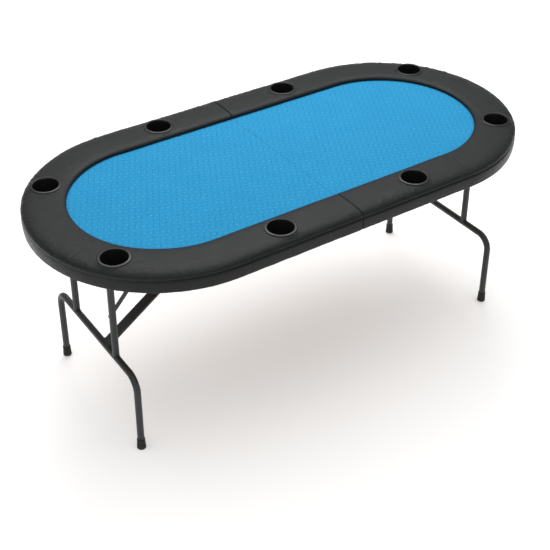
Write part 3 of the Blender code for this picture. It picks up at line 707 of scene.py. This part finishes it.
def add_bow(side):
    """Bent tube of both lower legs and the crossbar, with the brace's lug and pin."""
    shape = Shape()
    low = -LEG_LENGTH + 0.007
    centre = -CROSSBAR_DROP - BEND_R
    front, back = FEET_Y
    path = [Vector((0, front, low)), Vector((0, front, centre - 0.02))]
    for t in np.linspace(math.pi, math.pi / 2, 14):
        y = front + BEND_R + BEND_R * math.cos(t)
        path.append(Vector((0, y, centre + BEND_R * math.sin(t))))
    for t in np.linspace(math.pi / 2, 0, 14):
        y = back - BEND_R + BEND_R * math.cos(t)
        path.append(Vector((0, y, centre + BEND_R * math.sin(t))))
    path += [Vector((0, back, centre - 0.02)), Vector((0, back, low))]
    shape.tube(path, TUBE_R, Vector((1, 0, 0)))
    pin = [(HOOK_PIN_R, -HOOK_REACH), (HOOK_PIN_R, HOOK_REACH)]
    shape.turned(pin, (0, BRACE_Y, -HOOK_DROP), "Y", 20, closed=False)
    for sign in (-1, 1):
        head = [(0.0024, sign * 0.0218), (0.0042, sign * 0.0222), (0.0042, sign * 0.0232),
                (0.0030, sign * 0.0240)]
        shape.turned(head, (0, BRACE_Y, -HOOK_DROP), "Y", 24, closed=False)
    lug = []
    for t in np.linspace(0, math.pi, 9):
        lug.append((LUG_HALF_WIDTH * math.cos(t), -HOOK_DROP - 0.004 + 0.004 * math.sin(t)))
    weld_z = -CROSSBAR_DROP + TUBE_R - 0.002
    lug += [(-LUG_HALF_WIDTH - 0.001, weld_z), (LUG_HALF_WIDTH + 0.001, weld_z)]
    rows = [[Vector((x, BRACE_Y + y, z)) for y, z in lug] for x in (-LUG_HALF_THICK, LUG_HALF_THICK)]
    start = shape.sheet(rows, wrap_columns=True)
    shape.cap(start, len(lug))
    shape.cap(start + len(lug), len(lug))
    piece = shape.build("bent_leg_tube_" + side, PAINT)
    piece.data.transform(hanging())
    place(piece, side, "leg_frame_" + side, "leg_paint", "leg_bow_" + side)


def add_upright(side, end, index):
    """Upright tube with a capped top, a weld bead at the crossbar and the stay's stud."""
    shape = Shape()
    y = PINS_Y[index]
    inward = 1 if index == 0 else -1
    path = [Vector((0, y, z)) for z in (-CROSSBAR_DROP + 0.004, -0.2, 0.0, TUBE_R - 0.0012)]
    shape.tube(path, TUBE_R, Vector((1, 0, 0)))
    shape.turned([(TUBE_R, TUBE_R - 0.0012), (TUBE_R - 0.0006, TUBE_R - 0.0002), (0.0002, TUBE_R)],
                 (0, y, 0), closed=False, sides=LEG_SIDES)
    bead = []
    for t in np.linspace(0, 2 * math.pi, 48, endpoint=False):
        a, b = TUBE_R * math.cos(t), TUBE_R * math.sin(t)
        rise = math.sqrt(max(TUBE_R ** 2 - a * a, 0.0)) + 0.0006 + 0.0003 * math.sin(t * 17)
        bead.append(Vector((a, y + b, -CROSSBAR_DROP + rise)))
    shape.tube(bead, WELD_R, Vector((0.02, 0.03, 1)), sides=8, closed=True)
    stud = [(0.0040, inward * 0.0100), (0.0040, inward * 0.0191), (0.0062, inward * 0.0192),
            (0.0062, inward * 0.0202), (0.0046, inward * 0.0209), (0.0002, inward * 0.0212)]
    shape.turned(stud, (0, y, -STUD_DROP), "Y", 28, closed=False)
    piece = shape.build("upright_tube_" + side + "_" + end, PAINT)
    piece.data.transform(hanging())
    place(piece, side, "leg_frame_" + side, "leg_paint", "leg_upright_" + side + "_" + end)


def add_foot(side, end, index):
    """Rubber ferrule with a lipped top and grip rings, its sole flat on the floor."""
    shape = Shape()
    top = -LEG_LENGTH + FOOT_HEIGHT
    base = -LEG_LENGTH - 0.0006
    profile = [(0.0002, base), (0.0142, base), (0.0154, base + 0.0014), (0.0154, base + 0.0060)]
    for i in range(4):
        height = base + 0.0085 + i * 0.0052
        radius = 0.0151 - i * 0.0003
        profile += [(radius, height), (radius - 0.0009, height + 0.0013),
                    (radius - 0.0009, height + 0.0026), (radius - 0.0002, height + 0.0038)]
    bore = TUBE_R + 0.0003
    profile += [(0.0138, top - 0.0060), (0.0141, top - 0.0040), (0.0139, top - 0.0008), (0.0132, top),
                (bore, top - 0.0006), (bore, base + 0.0070), (0.0002, base + 0.0070)]
    shape.turned(profile, (0, FEET_Y[index], 0), sides=36)
    piece = shape.build("ferrule_" + side + "_" + end, RUBBER, 50)
    piece.data.transform(hanging())
    for vertex in piece.data.vertices:
        vertex.co.z = max(vertex.co.z, 0.0)
    place(piece, side, "leg_frame_" + side, "foot_rubber", "rubber_foot_" + side + "_" + end)


# --- small fasteners ---------------------------------------------------------------
def screw_head(shape, x, y, z, radius=0.0036, height=0.0016):
    """Pan head hanging under a plate."""
    shape.turned([(radius, z), (radius, z - height * 0.35), (radius * 0.82, z - height * 0.8),
                  (radius * 0.45, z - height), (0.0002, z - height)], (x, y, 0), sides=20, closed=False)


def add_screws(side):
    """Screws that hold the brackets under the board."""
    shape = Shape()
    plates = (("leg_bracket_", 0.021, BRACKET_PLATE), ("stay_bracket_", 0.009, FLANGE_THICK))
    for node, spread, thick in plates:
        for end in ("front", "back"):
            low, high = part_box(node + "right_" + end)
            plate = high.z - thick
            inward = 1 if end == "front" else -1
            y = (low.y + high.y) / 2
            if node == "stay_bracket_":
                edge = high.y if inward > 0 else low.y
                y = edge - inward * 0.0048
            for sign in (-1, 1):
                screw_head(shape, (low.x + high.x) / 2 + sign * spread, y, plate)
    low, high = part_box("brace_bracket_right")
    for sign in (-1, 1):
        for step in (-0.010, 0.010):
            y = high.y - 0.006 if sign > 0 else low.y + 0.006
            screw_head(shape, (low.x + high.x) / 2 + step, y, high.z - FLANGE_THICK, 0.0030)
    piece = shape.build("bracket_screws_" + side, ZINC)
    place(piece, side, side + "_half", "zinc_steel")


def dress_frame():
    """Finish the CAD pieces that keep their own shape."""
    finishes = (("deck_board", BOARD), ("apron_frame", TIMBER), ("hinge_", ZINC),
                ("leg_bracket", ZINC), ("pivot_pin", ZINC), ("brace_bracket", ZINC),
                ("stay_bracket", ZINC), ("brace_", PAINT), ("stay_", PAINT))
    bevelled = ("brace_left", "brace_right", "stay_left", "stay_right", "leg_bracket")
    for name, node in frame["nodes"].items():
        finish = next((m for start, m in finishes if name.startswith(start)), None)
        if finish is None or node.hide_render:
            continue
        node.data.materials.clear()
        node.data.materials.append(finish)
        if name.startswith(bevelled):
            edge = node.modifiers.new("edge", "BEVEL")
            edge.width = EDGE_BEVEL
            edge.segments = 2
            edge.limit_method = "ANGLE"
            edge.angle_limit = math.radians(50)


# --- studio ------------------------------------------------------------------------
def add_light(name, place_at, target, size, power):
    """Rectangular soft light aimed at a point."""
    light = bpy.data.lights.new(name, "AREA")
    light.shape = "RECTANGLE"
    light.size, light.size_y = size
    light.energy = power
    made = bpy.data.objects.new(name, light)
    made.location = place_at
    made.rotation_euler = (Vector(target) - Vector(place_at)).to_track_quat("-Z", "Y").to_euler()
    bpy.context.collection.objects.link(made)


def paint_sky(tree):
    """Light from a white sky overhead and a greyer horizon; the backdrop itself is white."""
    place_at = tree.nodes.new("ShaderNodeTexCoord")
    split = tree.nodes.new("ShaderNodeSeparateXYZ")
    ramp = tree.nodes.new("ShaderNodeMapRange")
    for key, value in (("From Min", 0.55), ("From Max", 1.0), ("To Min", 0.36), ("To Max", 1.75)):
        ramp.inputs[key].default_value = value
    tree.links.new(place_at.outputs["Generated"], split.inputs[0])
    tree.links.new(split.outputs["Z"], ramp.inputs["Value"])
    seen = tree.nodes.new("ShaderNodeLightPath")
    brightest = tree.nodes.new("ShaderNodeMath")
    brightest.operation = "MAXIMUM"
    tree.links.new(ramp.outputs["Result"], brightest.inputs[0])
    tree.links.new(seen.outputs["Is Camera Ray"], brightest.inputs[1])
    tree.links.new(brightest.outputs["Value"], tree.nodes["Background"].inputs["Strength"])
    tree.nodes["Background"].inputs["Color"].default_value = (1.0, 1.0, 1.0, 1.0)


def add_studio():
    """Pale floor, soft overhead light, a low fill, and the camera."""
    bpy.ops.mesh.primitive_plane_add(size=60, location=(0, 0, -FLOOR_DROP))
    floor = bpy.context.object
    floor.name = "floor"
    s = Surface("pale_floor", 0.9)
    s.colour(s.mix(s.noise(0.6), srgb(246, 246, 246), srgb(250, 250, 250)))
    s.shader.inputs["Specular IOR Level"].default_value = 0.0
    s.shader.inputs["Emission Color"].default_value = (1.0, 1.0, 1.0, 1.0)
    s.shader.inputs["Emission Strength"].default_value = 0.22
    floor.data.materials.append(s.material)
    world = bpy.data.worlds.new("studio")
    world.use_nodes = True
    paint_sky(world.node_tree)
    bpy.context.scene.world = world
    add_light("overhead", (0.8, 1.6, 3.0), (0, 0, 0.7), (2.6, 1.2), 50)
    add_light("front_fill", (-2.2, -3.0, 1.8), (0, 0, 0.6), (2.4, 1.6), 14)
    camera = bpy.data.cameras.new("camera")
    camera.lens = CAMERA_LENS
    camera.sensor_width = 36.0
    made = bpy.data.objects.new("camera", camera)
    made.location = CAMERA_AT
    forward = Vector((math.sin(CAMERA_YAW) * math.cos(CAMERA_PITCH),
                      math.cos(CAMERA_YAW) * math.cos(CAMERA_PITCH), -math.sin(CAMERA_PITCH)))
    made.rotation_euler = forward.to_track_quat("-Z", "Y").to_euler()
    bpy.context.collection.objects.link(made)
    bpy.context.scene.camera = made
    bpy.context.scene.view_settings.view_transform = "Standard"


# --- assembly ----------------------------------------------------------------------
add_rails()
for half in ("right", "left"):
    near, far = ("front", "back") if half == "right" else ("back", "front")
    add_stitching(half)
    add_cloth(half)
    for cup_name, cup_centre, cup_low, cup_high in cup_centres(half):
        add_cup(half, cup_name, cup_centre, cup_low, cup_high)
    add_bow(half)
    add_screws(half)
    for index, end in enumerate((near, far)):
        add_upright(half, end, index)
        add_foot(half, end, index)
dress_frame()
add_studio()
